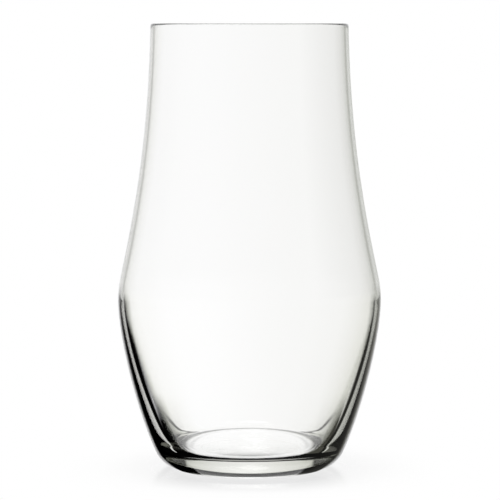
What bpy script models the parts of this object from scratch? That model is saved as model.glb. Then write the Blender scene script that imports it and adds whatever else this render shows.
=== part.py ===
"""Highball glass: one turned body of clear glass with a thick base.

From the rim the wall flares down to a soft shoulder, then draws in to a rounded heel and a narrow standing ring.
The body is one closed profile turned about +Z. Metres, +Z up, with the origin on the table under the middle.
"""

import math

import bpy
from mathutils import Vector
from mathutils.geometry import interpolate_bezier

# Outside of the glass, in metres
HEIGHT = 0.1420
RIM_RADIUS = 0.0314
SHOULDER_RADIUS = 0.0420  # the widest place
SHOULDER_HEIGHT = 0.0538
SHOULDER_ROUND = 0.0370
HEEL_ROUND = 0.0096
FOOT_RADIUS = 0.0215  # where the heel's curve meets the table

# Thickness of the glass, in metres, measured level through the wall
RIM_WALL = 0.00145
SHOULDER_WALL = 0.00166
HEEL_WALL = 0.0064
BASE_THICKNESS = 0.0069  # at the edge of the floor

# Inside of the glass, in metres
INNER_SHOULDER_RISE = 0.0016  # the inner shoulder sits a little higher than the outer one
INNER_SHOULDER_ROUND = 0.0140
INNER_CORNER_ROUND = 0.0035
FLOOR_RISE = 0.0015  # the floor is a shallow dome, highest in the middle

# Underside, in metres
STANDING_RING_WIDTH = 0.0025
PUSH_UP = 0.0003

# Leans of the wall from the vertical, in degrees
RIM_LEAN = 1.3
UPPER_LEAN = 12.2  # just above the shoulder
LOWER_LEAN = 3.3  # just below the shoulder, outside
HEEL_LEAN = 24.0  # where the lower wall runs into the heel
INNER_LOWER_LEAN = 2.6  # just below the shoulder, inside
INNER_CORNER_LEAN = 47.0  # where the inner wall runs into the corner of the floor

# How far each wall curve keeps its lean at its two ends, as a share of the curve's own chord
UPPER_HANDLES = (0.43, 0.29)  # at the rim, at the shoulder
LOWER_HANDLES = (0.30, 0.25)  # at the shoulder, at the heel
INNER_LOWER_HANDLES = (0.345, 0.095)  # at the shoulder, at the corner of the floor

# Fineness of the model
TURN_STEPS = 64
LIP_STEPS = 6
UPPER_STEPS = 8
SHOULDER_STEPS = 3
LOWER_STEPS = 6
ROUND_STEPS = 6
DOME_STEPS = 4
MERGE_DISTANCE = 1e-5

# Clear, polished, faintly grey-green glass
GLASS_COLOUR = (0.94, 0.96, 0.93, 1.0)
GLASS_ROUGHNESS = 0.02
GLASS_IOR = 1.52


def arc(centre, radius, start, end, steps):
    """Points of an arc in the profile's plane. Angles are in degrees, counted from level and outwards."""
    points = []
    for step in range(steps + 1):
        angle = math.radians(start + (end - start) * step / steps)
        points.append(centre + radius * Vector((math.cos(angle), math.sin(angle))))
    return points


def down(lean):
    """A unit step down the wall, which goes outwards where the lean is positive."""
    angle = math.radians(lean)
    return Vector((math.sin(angle), -math.cos(angle)))


def wall_curve(top, top_lean, bottom, bottom_lean, handles, steps):
    """A smooth wall from top to bottom that starts and ends at the given leans."""
    chord = (bottom - top).length
    top_handle = top + down(top_lean) * chord * handles[0]
    bottom_handle = bottom - down(bottom_lean) * chord * handles[1]
    return interpolate_bezier(top, top_handle, bottom_handle, bottom, steps + 1)


def radius_at(points, height):
    """Radius of a wall at a height, where points run from the top of the wall to its bottom."""
    for above, below in zip(points, points[1:]):
        if below.y <= height <= above.y:
            share = (above.y - height) / (above.y - below.y)
            return above.x + (below.x - above.x) * share
    raise ValueError("the wall doesn't reach this height")


def lip():
    """The fire-polished lip, a half round from the inner wall over the top to the outer wall."""
    half_wall = RIM_WALL / 2
    return arc(Vector((RIM_RADIUS - half_wall, HEIGHT - half_wall)), half_wall, 180, 0, LIP_STEPS)


def outer_wall(rim_edge):
    """The outside, from the lip down to the table."""
    shoulder_centre = Vector((SHOULDER_RADIUS - SHOULDER_ROUND, SHOULDER_HEIGHT))
    shoulder = arc(shoulder_centre, SHOULDER_ROUND, UPPER_LEAN, -LOWER_LEAN, SHOULDER_STEPS)
    heel = arc(Vector((FOOT_RADIUS, HEEL_ROUND)), HEEL_ROUND, -HEEL_LEAN, -90, ROUND_STEPS)
    upper = wall_curve(rim_edge, RIM_LEAN, shoulder[0], UPPER_LEAN, UPPER_HANDLES, UPPER_STEPS)
    lower = wall_curve(shoulder[-1], -LOWER_LEAN, heel[0], -HEEL_LEAN, LOWER_HANDLES, LOWER_STEPS)
    return upper + shoulder[1:] + lower[1:] + heel[1:]


def inner_wall(rim_edge, outside):
    """The inside, from the lip down to the edge of the floor."""
    shoulder_centre = Vector(
        (
            SHOULDER_RADIUS - SHOULDER_WALL - INNER_SHOULDER_ROUND,
            SHOULDER_HEIGHT + INNER_SHOULDER_RISE,
        )
    )
    shoulder = arc(shoulder_centre, INNER_SHOULDER_ROUND, UPPER_LEAN, -INNER_LOWER_LEAN, SHOULDER_STEPS)
    corner_lean = math.radians(INNER_CORNER_LEAN)
    corner_top = BASE_THICKNESS + INNER_CORNER_ROUND * (1 - math.sin(corner_lean))
    corner_reach = radius_at(outside, corner_top) - HEEL_WALL
    corner_centre = Vector(
        (
            corner_reach - INNER_CORNER_ROUND * math.cos(corner_lean),
            BASE_THICKNESS + INNER_CORNER_ROUND,
        )
    )
    corner = arc(corner_centre, INNER_CORNER_ROUND, -INNER_CORNER_LEAN, -90, ROUND_STEPS)
    upper = wall_curve(rim_edge, RIM_LEAN, shoulder[0], UPPER_LEAN, UPPER_HANDLES, UPPER_STEPS)
    lower = wall_curve(
        shoulder[-1], -INNER_LOWER_LEAN, corner[0], -INNER_CORNER_LEAN, INNER_LOWER_HANDLES, LOWER_STEPS
    )
    return upper + shoulder[1:] + lower[1:] + corner[1:]


def dome(reach, edge_height, rise):
    """A shallow dome, from its edge in to the axis."""
    points = []
    for step in range(DOME_STEPS + 1):
        share = 1 - step / DOME_STEPS
        points.append(Vector((reach * share, edge_height + rise * (1 - share * share))))
    return points


def glass_profile():
    """The whole section: from the middle of the floor up the inside, over the lip, down the outside and under."""
    lip_points = lip()
    outside = outer_wall(lip_points[-1])
    inside = inner_wall(lip_points[0], outside)
    floor = dome(inside[-1].x, BASE_THICKNESS, FLOOR_RISE)
    underside = dome(FOOT_RADIUS - STANDING_RING_WIDTH, 0, PUSH_UP)
    return floor[::-1] + inside[-2::-1] + lip_points[1:] + outside[1:] + underside


def turned(name, profile):
    """A profile at +X turned about +Z into a closed body."""
    mesh = bpy.data.meshes.new(name)
    points = [(point.x, 0, point.y) for point in profile]
    edges = [(index, index + 1) for index in range(len(points) - 1)]
    mesh.from_pydata(points, edges, [])
    body = bpy.data.objects.new(name, mesh)
    screw = body.modifiers.new("Turn", "SCREW")
    screw.axis = "Z"
    screw.angle = 2 * math.pi
    screw.steps = TURN_STEPS
    screw.render_steps = TURN_STEPS
    screw.use_merge_vertices = True
    screw.merge_threshold = MERGE_DISTANCE
    screw.use_smooth_shade = True
    return body


def clear_glass():
    """Clear glass with a polished surface."""
    material = bpy.data.materials.new("clear_glass")
    material.use_nodes = True
    shader = material.node_tree.nodes["Principled BSDF"]
    shader.inputs["Base Color"].default_value = GLASS_COLOUR
    shader.inputs["Metallic"].default_value = 0.0
    shader.inputs["Roughness"].default_value = GLASS_ROUGHNESS
    shader.inputs["IOR"].default_value = GLASS_IOR
    shader.inputs["Transmission Weight"].default_value = 1.0
    return material


def main():
    for old in list(bpy.data.objects):
        bpy.data.objects.remove(old)
    collection = bpy.data.collections.new("highball_glass")
    bpy.context.scene.collection.children.link(collection)
    glass_body = turned("glass_body", glass_profile())
    glass_body.data.materials.append(clear_glass())
    collection.objects.link(glass_body)


if __name__ == "__main__":
    main()
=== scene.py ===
"""Highball glass: the looks of one turned body of clear glass, on a white table in soft studio light."""

import math

import bmesh
import bpy
from bpy.props import FloatProperty, FloatVectorProperty, IntProperty, PointerProperty
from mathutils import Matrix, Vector
from mathutils.geometry import interpolate_bezier


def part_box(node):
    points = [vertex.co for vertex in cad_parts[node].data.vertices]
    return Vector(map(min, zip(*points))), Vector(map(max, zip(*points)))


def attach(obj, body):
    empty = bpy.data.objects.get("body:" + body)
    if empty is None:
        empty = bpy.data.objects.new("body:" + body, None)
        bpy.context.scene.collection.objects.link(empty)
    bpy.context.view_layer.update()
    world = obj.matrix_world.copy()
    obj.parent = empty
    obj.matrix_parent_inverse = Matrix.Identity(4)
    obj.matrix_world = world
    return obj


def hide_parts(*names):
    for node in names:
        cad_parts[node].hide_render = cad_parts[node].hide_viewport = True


bl_info = {
    "name": "Highball Glass",
    "version": (1, 0, 0),
    "blender": (4, 5, 0),
    "location": "3D View > Sidebar > Highball",
    "description": "Dresses a highball glass in clear glass, on a white table in soft studio light",
    "category": "Object",
}

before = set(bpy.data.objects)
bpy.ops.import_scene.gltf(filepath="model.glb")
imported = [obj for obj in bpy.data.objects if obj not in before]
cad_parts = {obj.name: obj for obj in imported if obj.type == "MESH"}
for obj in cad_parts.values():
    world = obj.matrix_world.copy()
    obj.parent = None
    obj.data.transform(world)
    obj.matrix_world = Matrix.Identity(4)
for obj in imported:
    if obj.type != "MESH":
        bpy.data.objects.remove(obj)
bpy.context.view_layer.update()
CAD_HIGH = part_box("glass_body")[1]
FRAME_PIXELS = 500
SENSOR_WIDTH = 36.0
TABLE_GAP = 0.0003
# Painted contact shade on the table round the foot, as seen through the glass, by the distance from the axis
# in metres
TABLE_REACH = 0.1
TABLE_FAR_TONES = ((0.0176, "FFFFFF"), (0.0186, "303030"), (0.0196, "303030"), (0.0206, "FFFFFF"))
TABLE_NEAR_TONES = ((0.0196, "FFFFFF"), (0.0205, "C8C8C4"), (0.0215, "101010"))
TABLE_WALL_TONES = ((0.0165, "C4C4BE"), (0.0203, "A8A8A2"), (0.0218, "202020"), (0.0228, "040404"))
# Painted shade on the surround, which gives the glass its dark lines, with tones for its left and right
# sides, by how far a ray runs sideways, from square on (0) to running round along the card (1)
LEFT_TONES = {
    "inside": (
        (0.60, "FFFFFF"), (0.78, "FBFBF9"), (0.83, "F3F3EF"),
        (0.850, "E6E7DF"), (0.862, "CACBC1"), (0.876, "040404"),
    ),
    "corner": (
        (0.60, "FFFFFF"), (0.795, "F7F7F3"), (0.815, "E0E1D8"),
        (0.838, "B0B1A7"), (0.858, "80817A"), (0.868, "040404"),
    ),
    "wall": ((0.815, "FFFFFF"), (0.832, "040404"), (0.863, "040404"), (0.871, "FAFAF6")),
    "heel": (
        (0.05, "FFFFFF"), (0.30, "F0F0EE"), (0.50, "DADBD6"),
        (0.585, "C4C5BF"), (0.610, "040404"), (0.790, "040404"),
        (0.800, "FFFFFF"),
    ),
    "edge": "040404",
    "limb": ((0.886, "000000"), (0.894, "808080"), (0.900, "FFFFFF")),
    "high": (
        (0.60, "FCFCFC"), (0.78, "FAFAFA"), (0.846, "F1F1EF"),
        (0.868, "E9E9E6"), (0.8765, "CECFCA"), (0.885, "F4F4F2"),
        (0.900, "FDFDFC"),
    ),
    "trapped": ((0.20, "F6F6F4"), (0.38, "D4D5CE"), (0.46, "040404")),
}
RIGHT_TONES = {
    "inside": (
        (0.45, "F8F8F7"), (0.67, "F4F4F2"), (0.77, "EBEBE7"),
        (0.84, "E2E2DB"), (0.858, "DADBD2"), (0.877, "D0D1C7"),
    ),
    "corner": (
        (0.45, "F8F8F7"), (0.67, "F4F4F2"), (0.77, "EBEBE7"),
        (0.825, "E2E2DB"), (0.848, "CCCDC4"), (0.871, "9A9B92"),
    ),
    "wall": ((0.824, "E6E6DF"), (0.838, "1C1C18"), (0.861, "1C1C18"), (0.871, "DEDFD7")),
    "heel": (
        (0.05, "FFFFFF"), (0.30, "F4F4F2"), (0.50, "E6E6E2"),
        (0.585, "D8D8D3"), (0.610, "4C4C46"), (0.790, "4C4C46"),
        (0.800, "FFFFFF"),
    ),
    "edge": "60605A",
    "limb": ((0.866, "585854"), (0.882, "909089"), (0.895, "C0C0B9"), (0.905, "FFFFFF")),
    "high": (
        (0.45, "F7F7F6"), (0.77, "E9E9E7"), (0.83, "DEDEDB"),
        (0.864, "D0D1CC"), (0.8765, "C0C1BB"), (0.887, "E8E9E5"),
    ),
    "trapped": ((0.20, "F6F6F4"), (0.38, "DCDDD6"), (0.46, "6E6F66")),
}
# Painted dark reflection: what the glass mirrors at a slant
MIRROR_TONES = ((0.840, "FFFFFF"), (0.866, "040404"))
# Painted dark reflection: tones that the glass mirrors just above the table, by height in metres
MIRROR_REACH = 0.02
LOW_MIRROR_TONES = ((0.0022, "FFFFFF"), (0.0032, "040404"), (0.0078, "040404"), (0.0098, "FFFFFF"))
# Painted shade at the foot of the surround, under the heel: dark along a wall, and by how far a ray runs
# sideways through the floor
FOOT_SHADE = "040404"
FOOT_SHADE_TONES = (
    (0.760, "FCFCFA"), (0.780, "303030"), (0.830, "303030"),
    (0.860, "CCCCC4"), (0.895, "CCCCC4"), (0.925, "040404"),
)
# A painted dark line on the surround, which stands in for the fine line that the inner corner of the base
# draws
PAINTED_CORNER_LINE = "101010"
CORNER_FADE = 0.6  # the corner line fades above this share of its height
# Painted shade: a dark line round the lip, by the share of the glass's height
LIP_SHADE_TONES = ((0.9972, "FFFFFF"), (0.9982, "A8ADA4"), (1.0, "7C8279"))


def linear(code):
    """A colour written as an sRGB hex value, turned into linear red, green and blue."""
    channels = [int(code[place:place + 2], 16) / 255 for place in (0, 2, 4)]
    return [value / 12.92 if value <= 0.04045 else ((value + 0.055) / 1.055) ** 2.4 for value in channels]


def length(name, description, default):
    """A length in metres that a user can change."""
    return FloatProperty(name=name, description=description, default=default, precision=5, unit="LENGTH")


def number(name, description, default):
    """A plain number that a user can change."""
    return FloatProperty(name=name, description=description, default=default)


def lean(name, description, degrees):
    """An angle from the vertical that a user can change, written in degrees."""
    return FloatProperty(name=name, description=description, default=math.radians(degrees), subtype="ANGLE")


def colour(name, description, code):
    """A colour that a user can change, written as an sRGB hex value."""
    return FloatVectorProperty(
        name=name, description=description, default=linear(code), subtype="COLOR", min=0.0, max=1.0
    )


class HighballShape(bpy.types.PropertyGroup):
    """Sizes of the section that the glass is turned from."""

    height: length("Height", "From the table to the top of the rim", CAD_HIGH.z)
    rim_radius: length("Rim Radius", "Outer radius at the rim", 0.0314)
    shoulder_radius: length("Shoulder Radius", "Outer radius at the widest place", CAD_HIGH.x)
    shoulder_height: length("Shoulder Height", "Height of the widest place", 0.0538)
    shoulder_round: length("Shoulder Round", "Radius of the outer shoulder's curve", 0.0370)
    heel_round: length("Heel Round", "Radius of the curve from the lower wall to the table", 0.0096)
    foot_radius: length("Foot Radius", "Where the heel's curve meets the table", 0.0215)
    rim_wall: length("Rim Wall", "Thickness of the wall at the rim", 0.00145)
    shoulder_wall: length("Shoulder Wall", "Thickness of the wall at the shoulder", 0.00166)
    heel_wall: length("Heel Wall", "Thickness of the wall above the inner corner", 0.0064)
    base_thickness: length("Base Thickness", "From the table to the edge of the floor", 0.0069)
    inner_shoulder_rise: length("Inner Shoulder Rise", "How much higher the inner shoulder sits", 0.0016)
    inner_shoulder_round: length("Inner Shoulder Round", "Radius of the inner shoulder's curve", 0.0140)
    inner_corner_round: length("Inner Corner Round", "Radius of the curve from wall to floor", 0.0035)
    floor_rise: length("Floor Rise", "How much higher the middle of the floor is", 0.0015)
    ring_width: length("Standing Ring Width", "Width of the flat ring that the glass rests on", 0.0025)
    push_up: length("Push-up", "Height of the hollow under the base", 0.0003)
    rim_lean: lean("Rim Lean", "Lean of the wall at the rim", 1.3)
    upper_lean: lean("Upper Lean", "Lean of the wall just above the shoulder", 12.2)
    lower_lean: lean("Lower Lean", "Lean of the outer wall just below the shoulder", 3.3)
    heel_lean: lean("Heel Lean", "Lean of the outer wall where it runs into the heel", 24.0)
    inner_lower_lean: lean("Inner Lower Lean", "Lean of the inner wall just below the shoulder", 2.6)
    inner_corner_lean: lean("Inner Corner Lean", "Lean of the inner wall where it runs into the corner", 47.0)
    turn_steps: IntProperty(name="Turn Steps", description="Flat faces in one turn", default=256, min=32)


class HighballFinish(bpy.types.PropertyGroup):
    """Colour and surface of the clear glass."""

    ior: number("IOR", "How strongly the glass bends light", 1.52)
    body_colour: colour("Body Colour", "What is left of white light after one metre of glass", "E4EADB")
    body_density: number("Body Density", "How fast the colour builds up", 2.0)
    wave_size: length("Wave Size", "Width of the soft waves that the mould leaves", 0.0120)
    wave_height: length("Wave Height", "Height of those waves", 0.000002)
    bloom_size: length("Bloom Size", "Width of the clouds that wiping leaves", 0.0250)
    bloom_roughness: number("Bloom Roughness", "Roughness in those clouds", 0.02)


class HighballStudio(bpy.types.PropertyGroup):
    """Camera, light, table and surround."""

    camera_distance: length("Camera Distance", "From the glass's axis to the lens", 0.8535)
    eye_height: length("Eye Height", "Height of the lens over the table", 0.1420)
    pitch: FloatProperty(
        name="Pitch", description="How far the lens looks down", default=0.0847, subtype="ANGLE"
    )
    focal_pixels: number("Focal Length", "In pixels of a 500 pixel frame", 2683.0)
    axis_pixels: number("Axis Offset", "Pixels from the middle to the axis", -0.5)
    rise_pixels: number("Rise", "Pixels that the picture is moved down", 1.2)
    # The surround's painted shade, which gives the glass its dark lines, is set from here down to Side Blend
    surround_scale: number("Surround", "Width of the surround over the glass's", 1.1)
    low_slant: number("Low Slant", "Added to the sideways share at the table", 0.105)
    high_slant: number("High Slant", "Added from the shoulder up", 0.004)
    slant_height: length("Slant Height", "Where the slant's addition stops changing", 0.0480)
    mirror_slant: number("Mirror Slant", "Addition for what the glass mirrors", 2.27)
    strip_slant: number("Strip Slant", "Added along a wall at the table", 0.060)
    strip_height: length("Strip Height", "Where the addition along a wall ends", 0.0420)
    edge_start: number("Edge Start", "Sideways share where the outermost line starts", 0.884)
    edge_end: number("Edge End", "Sideways share where that line is full", 0.895)
    edge_drop: number("Edge Drop", "How much sooner that line starts at the table", 0.09)
    edge_height: length("Edge Height", "Where that line starts at its usual place", 0.0050)
    heel_height: length("Heel Height", "Where the thick heel's dark part starts to end", 0.0110)
    heel_end: length("Heel End", "Where the thick heel's dark part has ended", 0.0210)
    low_corner: length("Low Corner", "Where the inner corner's shade starts to end", 0.0120)
    high_corner: length("High Corner", "Where the inner corner's shade has ended", 0.0180)
    dark_height: length("Dark Height", "From the table to where the dark lines start to pale", 0.0500)
    pale_height: length("Pale Height", "From the table to where the dark lines are pale", 0.0600)
    foot_height: length("Foot Height", "Height of the foot that is seen through the glass", 0.0010)
    corner_low: number("Corner Low", "Sideways share of the corner line at the table", 0.668)
    corner_high: number("Corner High", "Sideways share of the line at its top", 0.775)
    corner_height: length("Corner Height", "Height of the corner line", 0.0120)
    corner_width: number("Corner Width", "Half width of the corner line", 0.022)
    side_blend: length("Side Blend", "Half width of the change from left to right tones", 0.0200)
    room_light: number("Room Light", "Light from the white room", 0.6)
    lamp_size: length("Lamp Size", "Side of the soft box", 1.0)
    lamp_power: FloatProperty(
        name="Lamp Power", description="Power of the soft box", default=6.0, unit="POWER"
    )
    lamp_place: FloatVectorProperty(
        name="Lamp Place",
        description="Middle of the soft box",
        default=(-0.4, -0.3, 1.4),
        subtype="XYZ",
        unit="LENGTH",
    )
    table_size: length("Table Size", "Side of the table", 8.0)
    table_colour: colour("Table Colour", "Colour of the table", "F2F2F2")
    table_roughness: number("Table Roughness", "Blur of the mirror image", 0.15)
    table_gloss: number("Table Gloss", "Strength of the mirror image", 0.2)
    table_shadow: number("Table Shadow", "Strength of the shadow", 0.06)
    # Table Tilt shapes only the painted contact shade that the table shows through the glass
    table_tilt: number("Table Tilt", "Parts the table's far side from its near side", 0.15)
    mirror_reach: length("Mirror Reach", "How far from the axis the table mirrors the glass", 0.0500)
    shadow_reach: length("Shadow Reach", "How far from the axis the shadow shows", 0.0650)


class HighballSettings(bpy.types.PropertyGroup):
    """Everything that the sidebar shows."""

    shape: PointerProperty(type=HighballShape)
    finish: PointerProperty(type=HighballFinish)
    studio: PointerProperty(type=HighballStudio)


def add(tree, kind, settings=None, values=None, links=None, tones=()):
    """Adds one node: its options, its constant inputs, its links, and the tones of a colour ramp."""
    node = tree.nodes.new(kind)
    for name, value in (settings or {}).items():
        setattr(node, name, value)
    for name, value in (values or {}).items():
        node.inputs[name].default_value = value
    for name, source in (links or {}).items():
        tree.links.new(source, node.inputs[name])
    for index, (place, code) in enumerate(tones):
        stops = node.color_ramp.elements
        stop = stops[index] if index < len(stops) else stops.new(place)
        stop.position = place
        stop.color = (*linear(code), 1)
    return node


# The glass's section

UPPER_HANDLES = (0.43, 0.29)
LOWER_HANDLES = (0.30, 0.25)
INNER_LOWER_HANDLES = (0.345, 0.095)
LIP_STEPS = 14
UPPER_STEPS = 60
SHOULDER_STEPS = 16
LOWER_STEPS = 40
ROUND_STEPS = 24
DOME_STEPS = 16


def arc(centre, radius, start, end, steps):
    """Points of an arc in the section's plane. Angles are counted from level and outwards."""
    points = []
    for step in range(steps + 1):
        angle = start + (end - start) * step / steps
        points.append(centre + radius * Vector((math.cos(angle), math.sin(angle))))
    return points


def down(angle):
    """A unit step down the wall, which goes outwards where the lean is positive."""
    return Vector((math.sin(angle), -math.cos(angle)))


def wall_curve(top, top_lean, bottom, bottom_lean, handles, steps):
    """A smooth wall from top to bottom that starts and ends at the given leans."""
    chord = (bottom - top).length
    top_handle = top + down(top_lean) * chord * handles[0]
    bottom_handle = bottom - down(bottom_lean) * chord * handles[1]
    return interpolate_bezier(top, top_handle, bottom_handle, bottom, steps + 1)


def radius_at(points, height):
    """Radius of a wall at a height, where points run from the top of the wall to its bottom."""
    for above, below in zip(points, points[1:]):
        if below.y <= height <= above.y:
            share = (above.y - height) / (above.y - below.y)
            return above.x + (below.x - above.x) * share
    raise ValueError("the wall doesn't reach this height")


def lip(shape):
    """The fire-polished lip, a half round from the inner wall over the top to the outer wall."""
    half_wall = shape.rim_wall / 2
    centre = Vector((shape.rim_radius - half_wall, shape.height - half_wall))
    return arc(centre, half_wall, math.pi, 0, LIP_STEPS)


def outer_wall(shape, rim_edge):
    """The outside, from the lip down to the table."""
    shoulder_centre = Vector((shape.shoulder_radius - shape.shoulder_round, shape.shoulder_height))
    shoulder = arc(shoulder_centre, shape.shoulder_round, shape.upper_lean, -shape.lower_lean, SHOULDER_STEPS)
    heel_centre = Vector((shape.foot_radius, shape.heel_round))
    heel = arc(heel_centre, shape.heel_round, -shape.heel_lean, -math.pi / 2, ROUND_STEPS)
    upper = wall_curve(rim_edge, shape.rim_lean, shoulder[0], shape.upper_lean, UPPER_HANDLES, UPPER_STEPS)
    lower = wall_curve(shoulder[-1], -shape.lower_lean, heel[0], -shape.heel_lean, LOWER_HANDLES, LOWER_STEPS)
    return upper + shoulder[1:] + lower[1:] + heel[1:]


def inner_wall(shape, rim_edge, outside):
    """The inside, from the lip down to the edge of the floor."""
    shoulder_reach = shape.shoulder_radius - shape.shoulder_wall
    shoulder_centre = Vector(
        (shoulder_reach - shape.inner_shoulder_round, shape.shoulder_height + shape.inner_shoulder_rise)
    )
    shoulder = arc(
        shoulder_centre, shape.inner_shoulder_round, shape.upper_lean, -shape.inner_lower_lean, SHOULDER_STEPS
    )
    corner_lean = shape.inner_corner_lean
    corner_top = shape.base_thickness + shape.inner_corner_round * (1 - math.sin(corner_lean))
    corner_reach = radius_at(outside, corner_top) - shape.heel_wall
    corner_centre = Vector(
        (
            corner_reach - shape.inner_corner_round * math.cos(corner_lean),
            shape.base_thickness + shape.inner_corner_round,
        )
    )
    corner = arc(corner_centre, shape.inner_corner_round, -corner_lean, -math.pi / 2, ROUND_STEPS)
    upper = wall_curve(rim_edge, shape.rim_lean, shoulder[0], shape.upper_lean, UPPER_HANDLES, UPPER_STEPS)
    lower = wall_curve(
        shoulder[-1], -shape.inner_lower_lean, corner[0], -corner_lean, INNER_LOWER_HANDLES, LOWER_STEPS
    )
    return upper + shoulder[1:] + lower[1:] + corner[1:]


def dome(reach, edge_height, rise):
    """A shallow dome, from its edge in to the axis."""
    points = []
    for step in range(DOME_STEPS + 1):
        share = 1 - step / DOME_STEPS
        points.append(Vector((reach * share, edge_height + rise * (1 - share * share))))
    return points


def glass_section(shape):
    """The whole section: from the floor's middle up the inside, over the lip, down the outside and under."""
    lip_points = lip(shape)
    outside = outer_wall(shape, lip_points[-1])
    inside = inner_wall(shape, lip_points[0], outside)
    floor = dome(inside[-1].x, shape.base_thickness, shape.floor_rise)
    underside = dome(shape.foot_radius - shape.ring_width, 0.0, shape.push_up)
    return floor[::-1] + inside[::-1][1:] + lip_points[1:] + outside[1:] + underside


def turning_tree():
    """A tree that turns a section's points about the vertical axis into a closed body."""
    tree = bpy.data.node_groups.new("Turned Body", "GeometryNodeTree")
    sockets = (
        ("Section", "INPUT", "NodeSocketGeometry"),
        ("Turn Steps", "INPUT", "NodeSocketInt"),
        ("Seam Gap", "INPUT", "NodeSocketFloat"),
        ("Glass", "INPUT", "NodeSocketMaterial"),
        ("Body", "OUTPUT", "NodeSocketGeometry"),
    )
    for name, direction, kind in sockets:
        tree.interface.new_socket(name, in_out=direction, socket_type=kind)
    given = add(tree, "NodeGroupInput").outputs
    section = add(tree, "GeometryNodeAttributeDomainSize", links={"Geometry": given["Section"]})
    columns = add(
        tree, "FunctionNodeIntegerMath", {"operation": "ADD"}, {1: 1}, {0: given["Turn Steps"]}
    ).outputs[0]
    sheet = add(
        tree,
        "GeometryNodeMeshGrid",
        links={"Vertices X": section.outputs["Point Count"], "Vertices Y": columns},
    )
    index = add(tree, "GeometryNodeInputIndex").outputs[0]
    row = add(
        tree, "FunctionNodeIntegerMath", {"operation": "DIVIDE_FLOOR"}, links={0: index, 1: columns}
    ).outputs[0]
    column = add(
        tree, "FunctionNodeIntegerMath", {"operation": "MODULO"}, links={0: index, 1: columns}
    ).outputs[0]
    place = add(tree, "GeometryNodeInputPosition").outputs[0]
    point = add(
        tree,
        "GeometryNodeSampleIndex",
        {"data_type": "FLOAT_VECTOR", "domain": "POINT"},
        links={"Geometry": given["Section"], "Value": place, "Index": row},
    ).outputs[0]
    share = add(
        tree, "ShaderNodeMath", {"operation": "DIVIDE"}, links={0: column, 1: given["Turn Steps"]}
    ).outputs[0]
    angle = add(tree, "ShaderNodeMath", {"operation": "MULTIPLY"}, {1: 2 * math.pi}, {0: share}).outputs[0]
    turned_point = add(
        tree, "ShaderNodeVectorRotate", {"rotation_type": "Z_AXIS"}, links={"Vector": point, "Angle": angle}
    ).outputs[0]
    wrapped = add(
        tree, "GeometryNodeSetPosition", links={"Geometry": sheet.outputs["Mesh"], "Position": turned_point}
    )
    closed = add(
        tree,
        "GeometryNodeMergeByDistance",
        links={"Geometry": wrapped.outputs[0], "Distance": given["Seam Gap"]},
    )
    smooth = add(tree, "GeometryNodeSetShadeSmooth", links={"Geometry": closed.outputs[0]})
    real = add(tree, "GeometryNodeRealizeInstances", links={"Geometry": smooth.outputs[0]})
    dressed = add(
        tree, "GeometryNodeSetMaterial", links={"Geometry": real.outputs[0], "Material": given["Glass"]}
    )
    add(tree, "NodeGroupOutput", links={"Body": dressed.outputs[0]})
    return tree


SEAM_GAP = 2e-6


def turned(context, name, section, steps, material):
    """A section turned about the vertical axis, as a plain closed mesh."""
    mesh = bpy.data.meshes.new(name)
    edges = [(index, index + 1) for index in range(len(section) - 1)]
    mesh.from_pydata([(point.x, 0, point.y) for point in section], edges, [])
    body = bpy.data.objects.new(name, mesh)
    context.scene.collection.objects.link(body)
    turning = body.modifiers.new("Turning", "NODES")
    tree = turning_tree()
    turning.node_group = tree
    given = {"Turn Steps": steps, "Seam Gap": SEAM_GAP, "Glass": material}
    for socket in tree.interface.items_tree:
        if socket.name in given:
            turning[socket.identifier] = given[socket.name]
    plain = bpy.data.meshes.new_from_object(body.evaluated_get(context.evaluated_depsgraph_get()))
    body.modifiers.clear()
    body.data = plain
    bpy.data.meshes.remove(mesh)
    plain.name = name
    return body


def check_closed(body):
    """Stops the script if a body has an open edge or points inwards."""
    shell = bmesh.new()
    shell.from_mesh(body.data)
    open_edges = [edge for edge in shell.edges if not edge.is_manifold]
    volume = shell.calc_volume(signed=True)
    shell.free()
    if open_edges or volume <= 0:
        raise RuntimeError(f"{body.name} has {len(open_edges)} open edges and a volume of {volume}")


# The glass's finish

WAVE_DETAIL = 1.0
CLOUD_EDGE = 0.5  # noise level where a cloud starts
CLOUD_MIDDLE = 0.8  # noise level where a cloud is at its roughest


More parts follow.
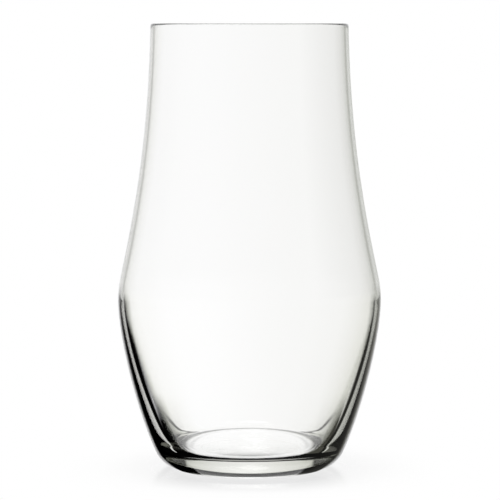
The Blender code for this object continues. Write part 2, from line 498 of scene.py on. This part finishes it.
def clear_glass(finish, height):
    """Soda-lime glass, blown in a mould and fire-polished.

    To the eye it is clear and sharp, with a faint grey-green where it is thick and a painted dark line round
    the lip, which stands in for the shade where light runs lengthways down the wall. Soft waves from the
    mould make its reflections uneven.
    """
    material = bpy.data.materials.new("soda_lime_glass_fire_polished")
    material.use_nodes = True
    tree = material.node_tree
    shader = tree.nodes["Principled BSDF"]
    shader.inputs["IOR"].default_value = finish.ior
    shader.inputs["Transmission Weight"].default_value = 1.0
    place = add(tree, "ShaderNodeTexCoord").outputs["Object"]

    # The lip's painted dark line, which stands in for the shade where light runs lengthways down the wall
    upwards = add(tree, "ShaderNodeSeparateXYZ", links={0: place}).outputs["Z"]
    height_share = add(tree, "ShaderNodeMath", {"operation": "DIVIDE"}, {1: height}, {0: upwards}).outputs[0]
    lip_shade = add(tree, "ShaderNodeValToRGB", links={"Fac": height_share}, tones=LIP_SHADE_TONES).outputs["Color"]
    tree.links.new(lip_shade, shader.inputs["Base Color"])

    # The mould's soft waves, a few thousandths of a millimetre high
    waves = add(
        tree,
        "ShaderNodeTexNoise",
        values={"Scale": 1 / finish.wave_size, "Detail": WAVE_DETAIL},
        links={"Vector": place},
    ).outputs["Fac"]
    swell = add(tree, "ShaderNodeBump", values={"Distance": finish.wave_height}, links={"Height": waves})
    tree.links.new(swell.outputs[0], shader.inputs["Normal"])

    # Clouds that wiping leaves, too faint to see except in a bright reflection
    clouds = add(
        tree, "ShaderNodeTexNoise", values={"Scale": 1 / finish.bloom_size}, links={"Vector": place}
    ).outputs["Fac"]
    bloom = add(
        tree,
        "ShaderNodeMapRange",
        values={"From Min": CLOUD_EDGE, "From Max": CLOUD_MIDDLE, "To Max": finish.bloom_roughness},
        links={"Value": clouds},
    ).outputs[0]
    tree.links.new(bloom, shader.inputs["Roughness"])

    # Grey-green that builds up with the length of glass a ray runs through
    body = add(
        tree,
        "ShaderNodeVolumeAbsorption",
        values={"Color": (*finish.body_colour, 1), "Density": finish.body_density},
    )
    tree.links.new(body.outputs[0], tree.nodes["Material Output"].inputs["Volume"])
    return material


class HIGHBALL_OT_turn_glass(bpy.types.Operator):
    """Turns the glass from its section and gives it its finish"""

    bl_idname = "highball.turn_glass"
    bl_label = "Turn Glass"

    def execute(self, context):
        settings = context.scene.highball
        section = glass_section(settings.shape)
        material = clear_glass(settings.finish, settings.shape.height)
        body = turned(context, "highball_body", section, settings.shape.turn_steps, material)
        check_closed(body)
        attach(body, "root")
        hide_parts("glass_body")
        return {"FINISHED"}


# The stage

BACKGROUND_RAYS = ("Is Camera Ray", "Is Glossy Ray", "Is Transmission Ray")
ONE_WALL = 2  # a ray passes into a wall and out again
HALF_PASS = 0.5  # parts one whole number of passes or bounces from the next
MANY_BOUNCES = 1.5  # parts one bounce from several
FAR_FACING = (0.78, 0.90)  # how edge-on the tipped table is seen where its far side starts and is full
LOW_FACING = (0.50, 0.62)  # the same for rays low enough to see its tones
STRIP_POWER = 2  # how fast the addition along a wall grows towards the table
# Which of the card's slants each of its tones goes by
TONE_SLANTS = {
    "inside": "low",
    "corner": "low",
    "wall": "wall",
    "heel": "plain",
    "limb": "plain",
    "high": "plain",
    "trapped": "plain",
}
SMOOTH = {"interpolation_type": "SMOOTHSTEP"}

# A Mix node's options and sockets for colours
PLAIN_MIX = {"data_type": "RGBA"}
DARKER_MIX = {"data_type": "RGBA", "blend_type": "MULTIPLY"}
LIGHTER_MIX = {"data_type": "RGBA", "blend_type": "LIGHTEN"}
SHARE = 0
FIRST = 6
SECOND = 7
MIXED = 2
WHITE = (1, 1, 1, 1)


def ray_test(tree, kinds):
    """1 for rays of any of these kinds and 0 for the others."""
    path = add(tree, "ShaderNodeLightPath").outputs
    found = path[kinds[0]]
    for kind in kinds[1:]:
        either = add(tree, "ShaderNodeMath", {"operation": "MAXIMUM"}, links={0: found, 1: path[kind]})
        found = either.outputs[0]
    return found


def wall_test(tree, path):
    """1 for a ray that has passed through one wall only, and 0 for one that has crossed the inside."""
    return add(
        tree,
        "ShaderNodeMath",
        {"operation": "COMPARE"},
        {1: ONE_WALL, 2: HALF_PASS},
        {0: path["Transmission Depth"]},
    ).outputs[0]


def bare_material(name):
    """A material with nothing but its output node, with its tree and that node's surface socket."""
    material = bpy.data.materials.new(name)
    material.use_nodes = True
    tree = material.node_tree
    tree.nodes.remove(tree.nodes["Principled BSDF"])
    return material, tree, tree.nodes["Material Output"].inputs["Surface"]


def set_camera(context, studio):
    """A long lens, level with the rim and looking a little down."""
    lens = bpy.data.cameras.new("camera")
    lens.sensor_width = SENSOR_WIDTH
    lens.lens = SENSOR_WIDTH * studio.focal_pixels / FRAME_PIXELS
    lens.shift_x = -studio.axis_pixels / FRAME_PIXELS
    lens.shift_y = studio.rise_pixels / FRAME_PIXELS
    camera = bpy.data.objects.new("camera", lens)
    camera.location = (0, -studio.camera_distance, studio.eye_height)
    camera.rotation_euler = (math.pi / 2 - studio.pitch, 0, 0)
    context.scene.collection.objects.link(camera)
    context.scene.camera = camera


def set_world(context, studio):
    """A white room: pure white where it is seen, also in the glass, and a plain level where it lights."""
    world = bpy.data.worlds.new("white_room")
    world.use_nodes = True
    tree = world.node_tree
    level = add(
        tree,
        "ShaderNodeMapRange",
        values={"To Min": studio.room_light, "To Max": 1},
        links={"Value": ray_test(tree, BACKGROUND_RAYS)},
    ).outputs[0]
    tree.links.new(level, tree.nodes["Background"].inputs["Strength"])
    tree.nodes["Background"].inputs["Color"].default_value = WHITE
    context.scene.world = world


def set_lamp(context, studio):
    """A soft box overhead, a little to the left."""
    light = bpy.data.lights.new("soft_box", "AREA")
    light.shape = "SQUARE"
    light.size = studio.lamp_size
    light.energy = studio.lamp_power
    lamp = bpy.data.objects.new("soft_box", light)
    lamp.location = studio.lamp_place
    lamp.rotation_euler = (-lamp.location).to_track_quat("-Z", "Y").to_euler()
    context.scene.collection.objects.link(lamp)


def table_facing(tree, studio, place):
    """How edge-on a ray meets the table, whose normal tips outwards, so that its far side is the most so."""
    outwards = add(tree, "ShaderNodeVectorMath", {"operation": "NORMALIZE"}, links={0: place}).outputs[0]
    tipped = add(
        tree,
        "ShaderNodeVectorMath",
        {"operation": "MULTIPLY_ADD"},
        {1: [studio.table_tilt] * 3, 2: (0, 0, 1)},
        {0: outwards},
    ).outputs[0]
    return add(tree, "ShaderNodeLayerWeight", links={"Normal": tipped}).outputs["Facing"]


def table_tone(tree, studio, place, radius):
    """Painted contact shade of the table as seen through the glass: on its far and near sides, and along a
    wall.
    """
    share = add(tree, "ShaderNodeMath", {"operation": "DIVIDE"}, {1: TABLE_REACH}, {0: radius}).outputs[0]
    tones = []
    for given in (TABLE_FAR_TONES, TABLE_NEAR_TONES, TABLE_WALL_TONES):
        stops = [(distance / TABLE_REACH, code) for distance, code in given]
        tones.append(add(tree, "ShaderNodeValToRGB", links={"Fac": share}, tones=stops).outputs["Color"])
    far_tone, near_tone, wall_tone = tones

    facing = table_facing(tree, studio, place)
    fades = []
    for start, end in (FAR_FACING, LOW_FACING):
        fade = add(
            tree,
            "ShaderNodeMapRange",
            values={"From Min": start, "From Max": end},
            links={"Value": facing},
        )
        fades.append(fade.outputs[0])
    far, low = fades
    path = add(tree, "ShaderNodeLightPath").outputs
    straight = add(
        tree, "ShaderNodeMath", {"operation": "LESS_THAN"}, {1: HALF_PASS}, {0: path["Glossy Depth"]}
    ).outputs[0]
    toned = add(tree, "ShaderNodeMath", {"operation": "MULTIPLY"}, links={0: low, 1: straight}).outputs[0]
    ring = add(
        tree, "ShaderNodeMix", PLAIN_MIX, links={SHARE: far, FIRST: near_tone, SECOND: far_tone}
    ).outputs[MIXED]
    floor = add(
        tree, "ShaderNodeMix", PLAIN_MIX, {FIRST: WHITE}, {SHARE: toned, SECOND: ring}
    ).outputs[MIXED]
    return add(
        tree,
        "ShaderNodeMix",
        PLAIN_MIX,
        links={SHARE: wall_test(tree, path), FIRST: floor, SECOND: wall_tone},
    ).outputs[MIXED]


def table_white(studio):
    """White acrylic sheet: white to the edge of the picture, with a faint mirror image and shadow, and
    painted contact shade round the foot as seen through the glass.
    """
    material, tree, surface = bare_material("white_acrylic_sheet")
    place = add(tree, "ShaderNodeTexCoord").outputs["Object"]
    radius = add(tree, "ShaderNodeVectorMath", {"operation": "LENGTH"}, links={0: place}).outputs["Value"]
    # Painted contact shade round the foot, for rays that come through the glass
    tone = table_tone(tree, studio, place, radius)
    through = add(tree, "ShaderNodeEmission", links={"Color": tone}).outputs[0]
    white = add(tree, "ShaderNodeEmission").outputs[0]
    matt = add(tree, "ShaderNodeBsdfDiffuse", values={"Color": (*studio.table_colour, 1)}).outputs[0]
    gloss = add(tree, "ShaderNodeBsdfGlossy", values={"Roughness": studio.table_roughness}).outputs[0]

    # The shadow and the mirror image fade out round the glass
    shown = white
    for reach, strength, shader in (
        (studio.shadow_reach, studio.table_shadow, matt),
        (studio.mirror_reach, studio.table_gloss, gloss),
    ):
        share = add(
            tree,
            "ShaderNodeMapRange",
            SMOOTH,
            {"From Min": reach, "From Max": reach / 2, "To Max": strength},
            {"Value": radius},
        ).outputs[0]
        shown = add(tree, "ShaderNodeMixShader", links={0: share, 1: shown, 2: shader}).outputs[0]
    seen = add(
        tree, "ShaderNodeMixShader", links={0: ray_test(tree, BACKGROUND_RAYS), 1: matt, 2: through}
    ).outputs[0]
    final = add(
        tree, "ShaderNodeMixShader", links={0: ray_test(tree, ("Is Camera Ray",)), 1: seen, 2: shown}
    )
    tree.links.new(final.outputs[0], surface)
    return material


def set_table(context, studio):
    """A table far wider than the picture, a hair below the glass."""
    half = studio.table_size / 2
    mesh = bpy.data.meshes.new("table")
    corners = [(-half, -half, 0), (half, -half, 0), (half, half, 0), (-half, half, 0)]
    mesh.from_pydata(corners, [], [(0, 1, 2, 3)])
    mesh.materials.append(table_white(studio))
    table = bpy.data.objects.new("table", mesh)
    table.location.z = -TABLE_GAP
    context.scene.collection.objects.link(table)


def height_fades(tree, studio, height):
    """What changes with height on the card: each runs evenly between two heights and is level beyond."""
    spans = {
        "slant": (0, studio.slant_height, studio.low_slant, studio.high_slant),
        "strip": (0, studio.strip_height, 1, 0),
        "edge": (0, studio.edge_height, studio.edge_drop, 0),
        "heel": (studio.heel_end, studio.heel_height, 0, 1),
        "inside": (studio.low_corner, studio.high_corner, 0, 1),
        "high": (studio.dark_height, studio.pale_height, 0, 1),
        "corner": (0, studio.corner_height, studio.corner_low, studio.corner_high),
        "corner_line": (studio.corner_height, studio.corner_height * CORNER_FADE, 0, 1),
    }
    fades = {}
    for name, (start, end, first, last) in spans.items():
        fade = add(
            tree,
            "ShaderNodeMapRange",
            values={"From Min": start, "From Max": end, "To Min": first, "To Max": last},
            links={"Value": height},
        )
        fades[name] = fade.outputs[0]
    return fades


def ray_kinds(tree, path):
    """Tests for a ray that passed glass, came along one wall, was trapped in a wall or crossed the inside."""
    in_wall = wall_test(tree, path)
    bounced = add(
        tree, "ShaderNodeMath", {"operation": "GREATER_THAN"}, {1: MANY_BOUNCES}, {0: path["Glossy Depth"]}
    ).outputs[0]
    trapped = add(tree, "ShaderNodeMath", {"operation": "MULTIPLY"}, links={0: in_wall, 1: bounced})
    crossed = add(
        tree,
        "ShaderNodeMath",
        {"operation": "GREATER_THAN"},
        {1: ONE_WALL + HALF_PASS},
        {0: path["Transmission Depth"]},
    )
    return {
        "passed": path["Is Transmission Ray"],
        "in_wall": in_wall,
        "trapped": trapped.outputs[0],
        "crossed": crossed.outputs[0],
    }


def card_slants(tree, studio, fades, kinds):
    """How far a ray runs sideways along the card: plainly, with more added low down, and along one wall."""
    along = add(tree, "ShaderNodeTangent", {"direction_type": "RADIAL", "axis": "Z"}).outputs[0]
    facing = add(tree, "ShaderNodeLayerWeight", links={"Normal": along}).outputs["Facing"]
    plain = add(tree, "ShaderNodeMath", {"operation": "SUBTRACT"}, {0: 1}, {1: facing}).outputs[0]
    gain = add(
        tree,
        "ShaderNodeMapRange",
        values={"To Min": studio.mirror_slant, "To Max": 1},
        links={"Value": kinds["passed"]},
    ).outputs[0]
    low = add(
        tree, "ShaderNodeMath", {"operation": "MULTIPLY_ADD"}, links={0: fades["slant"], 1: gain, 2: plain}
    ).outputs[0]
    strip = add(
        tree, "ShaderNodeMath", {"operation": "POWER"}, {1: STRIP_POWER}, {0: fades["strip"]}
    ).outputs[0]
    wall = add(
        tree,
        "ShaderNodeMath",
        {"operation": "MULTIPLY_ADD"},
        {1: studio.strip_slant},
        {0: strip, 2: plain},
    ).outputs[0]
    return {"plain": plain, "low": low, "wall": wall}


def edge_share(tree, studio, slants, fades):
    """Share of the outermost painted dark line, which starts sooner near the table."""
    place = add(
        tree, "ShaderNodeMath", {"operation": "ADD"}, links={0: slants["plain"], 1: fades["edge"]}
    ).outputs[0]
    return add(
        tree,
        "ShaderNodeMapRange",
        values={"From Min": studio.edge_start, "From Max": studio.edge_end},
        links={"Value": place},
    ).outputs[0]


def corner_share(tree, studio, slants, fades, kinds):
    """Share of the painted fine line that stands in for what the inner corner of the base draws, which fades
    towards its top.
    """
    off_line = add(
        tree, "ShaderNodeMath", {"operation": "SUBTRACT"}, links={0: slants["plain"], 1: fades["corner"]}
    ).outputs[0]
    gap = add(tree, "ShaderNodeMath", {"operation": "ABSOLUTE"}, links={0: off_line}).outputs[0]
    share = add(
        tree, "ShaderNodeMapRange", SMOOTH, {"From Min": studio.corner_width, "From Max": 0}, {"Value": gap}
    ).outputs[0]
    for limit in (fades["corner_line"], kinds["crossed"]):
        limited = add(tree, "ShaderNodeMath", {"operation": "MULTIPLY"}, links={0: share, 1: limit})
        share = limited.outputs[0]
    return share


def mirror_tone(tree, slants, height):
    """Painted dark reflection: tone of what the glass mirrors, dark at a slant and in a band just above the
    table.
    """
    side = add(tree, "ShaderNodeValToRGB", links={"Fac": slants["low"]}, tones=MIRROR_TONES).outputs["Color"]
    share = add(tree, "ShaderNodeMath", {"operation": "DIVIDE"}, {1: MIRROR_REACH}, {0: height}).outputs[0]
    stops = [(place / MIRROR_REACH, code) for place, code in LOW_MIRROR_TONES]
    band = add(tree, "ShaderNodeValToRGB", links={"Fac": share}, tones=stops).outputs["Color"]
    return add(tree, "ShaderNodeMix", DARKER_MIX, {SHARE: 1}, {FIRST: side, SECOND: band}).outputs[MIXED]


def side_tone(tree, tones, slants, fades, kinds, edge, mirror):
    """Painted shade of the card's left or right side, for every kind of ray."""
    shades = {}
    for name, slant in TONE_SLANTS.items():
        shade = add(tree, "ShaderNodeValToRGB", links={"Fac": slants[slant]}, tones=tones[name])
        shades[name] = shade.outputs["Color"]
    wall = add(
        tree,
        "ShaderNodeMix",
        DARKER_MIX,
        links={SHARE: fades["heel"], FIRST: shades["wall"], SECOND: shades["heel"]},
    ).outputs[MIXED]
    edged = add(
        tree, "ShaderNodeMix", PLAIN_MIX, {SECOND: (*linear(tones["edge"]), 1)}, {SHARE: edge, FIRST: wall}
    ).outputs[MIXED]
    inside = add(
        tree,
        "ShaderNodeMix",
        PLAIN_MIX,
        links={SHARE: fades["inside"], FIRST: shades["corner"], SECOND: shades["inside"]},
    ).outputs[MIXED]
    seen = add(
        tree, "ShaderNodeMix", PLAIN_MIX, links={SHARE: kinds["in_wall"], FIRST: inside, SECOND: edged}
    ).outputs[MIXED]
    mirrored = add(
        tree, "ShaderNodeMix", LIGHTER_MIX, {SHARE: 1}, {FIRST: mirror, SECOND: shades["limb"]}
    ).outputs[MIXED]
    low = add(
        tree, "ShaderNodeMix", PLAIN_MIX, links={SHARE: kinds["passed"], FIRST: mirrored, SECOND: seen}
    ).outputs[MIXED]
    free = add(
        tree, "ShaderNodeMix", PLAIN_MIX, links={SHARE: fades["high"], FIRST: low, SECOND: shades["high"]}
    ).outputs[MIXED]
    return add(
        tree,
        "ShaderNodeMix",
        PLAIN_MIX,
        links={SHARE: kinds["trapped"], FIRST: free, SECOND: shades["trapped"]},
    ).outputs[MIXED]


def painted_shade_card(studio):
    """Round card of painted shade that gives the glass its dark lines: white when seen square on, and dark
    when seen at a slant.
    """
    material, tree, surface = bare_material("painted_shade_card")
    place = add(tree, "ShaderNodeTexCoord").outputs["Object"]
    axes = add(tree, "ShaderNodeSeparateXYZ", links={0: place}).outputs
    fades = height_fades(tree, studio, axes["Z"])
    kinds = ray_kinds(tree, add(tree, "ShaderNodeLightPath").outputs)
    slants = card_slants(tree, studio, fades, kinds)
    edge = edge_share(tree, studio, slants, fades)
    mirror = mirror_tone(tree, slants, axes["Z"])
    left, right = [
        side_tone(tree, tones, slants, fades, kinds, edge, mirror) for tones in (LEFT_TONES, RIGHT_TONES)
    ]
    rightness = add(
        tree,
        "ShaderNodeMapRange",
        SMOOTH,
        {"From Min": -studio.side_blend, "From Max": studio.side_blend},
        {"Value": axes["X"]},
    ).outputs[0]
    body = add(
        tree, "ShaderNodeMix", PLAIN_MIX, links={SHARE: rightness, FIRST: left, SECOND: right}
    ).outputs[MIXED]
    line = corner_share(tree, studio, slants, fades, kinds)
    lined = add(
        tree, "ShaderNodeMix", PLAIN_MIX, {SECOND: (*linear(PAINTED_CORNER_LINE), 1)}, {SHARE: line, FIRST: body}
    ).outputs[MIXED]

    # The painted shade at the surround's foot, under the heel, which is pale where it is seen through the
    # floor
    low_down = add(
        tree, "ShaderNodeMath", {"operation": "LESS_THAN"}, {1: studio.foot_height}, {0: axes["Z"]}
    ).outputs[0]
    foot_seen = add(
        tree, "ShaderNodeMath", {"operation": "MULTIPLY"}, links={0: low_down, 1: kinds["passed"]}
    ).outputs[0]
    pale_foot = add(tree, "ShaderNodeValToRGB", links={"Fac": slants["low"]}, tones=FOOT_SHADE_TONES)
    foot = add(
        tree,
        "ShaderNodeMix",
        PLAIN_MIX,
        {FIRST: (*linear(FOOT_SHADE), 1)},
        {SHARE: kinds["crossed"], SECOND: pale_foot.outputs["Color"]},
    ).outputs[MIXED]
    tone = add(
        tree, "ShaderNodeMix", PLAIN_MIX, links={SHARE: foot_seen, FIRST: lined, SECOND: foot}
    ).outputs[MIXED]

    # Only the card's inner face shows, so the table still mirrors the glass
    glow = add(tree, "ShaderNodeEmission", links={"Color": tone}).outputs[0]
    clear = add(tree, "ShaderNodeBsdfTransparent").outputs[0]
    inner_face = add(tree, "ShaderNodeNewGeometry").outputs["Backfacing"]
    shown = add(tree, "ShaderNodeMixShader", links={0: inner_face, 1: clear, 2: glow})
    tree.links.new(shown.outputs[0], surface)
    return material


def set_surround(context, shape, studio):
    """A card of painted shade that follows the outside of the glass and is seen only through it."""
    outside = outer_wall(shape, lip(shape)[-1])
    section = [Vector((point.x * studio.surround_scale, point.y)) for point in outside]
    surround = turned(context, "surround", section, shape.turn_steps, painted_shade_card(studio))
    surround.visible_camera = False
    surround.visible_diffuse = False
    surround.visible_shadow = False


class HIGHBALL_OT_set_stage(bpy.types.Operator):
    """Sets the camera, the white room, the light, the table and the surround"""

    bl_idname = "highball.set_stage"
    bl_label = "Set Stage"

    def execute(self, context):
        settings = context.scene.highball
        studio = settings.studio
        set_camera(context, studio)
        set_world(context, studio)
        set_lamp(context, studio)
        set_table(context, studio)
        set_surround(context, settings.shape, studio)
        context.scene.view_settings.view_transform = "Standard"
        return {"FINISHED"}


class HIGHBALL_PT_sidebar(bpy.types.Panel):
    """Sizes, finish and stage of the glass"""

    bl_idname = "HIGHBALL_PT_sidebar"
    bl_label = "Highball Glass"
    bl_space_type = "VIEW_3D"
    bl_region_type = "UI"
    bl_category = "Highball"

    def draw(self, context):
        settings = context.scene.highball
        for operator in (HIGHBALL_OT_turn_glass, HIGHBALL_OT_set_stage):
            self.layout.operator(operator.bl_idname)
        for group in (settings.shape, settings.finish, settings.studio):
            box = self.layout.box()
            for name in group.__annotations__:
                box.prop(group, name)


CLASSES = (
    HighballShape,
    HighballFinish,
    HighballStudio,
    HighballSettings,
    HIGHBALL_OT_turn_glass,
    HIGHBALL_OT_set_stage,
    HIGHBALL_PT_sidebar,
)


def register():
    for each in CLASSES:
        bpy.utils.register_class(each)
    bpy.types.Scene.highball = PointerProperty(type=HighballSettings)


def unregister():
    del bpy.types.Scene.highball
    for each in reversed(CLASSES):
        bpy.utils.unregister_class(each)


def main():
    register()
    bpy.ops.highball.turn_glass()
    bpy.ops.highball.set_stage()


if __name__ == "__main__":
    main()
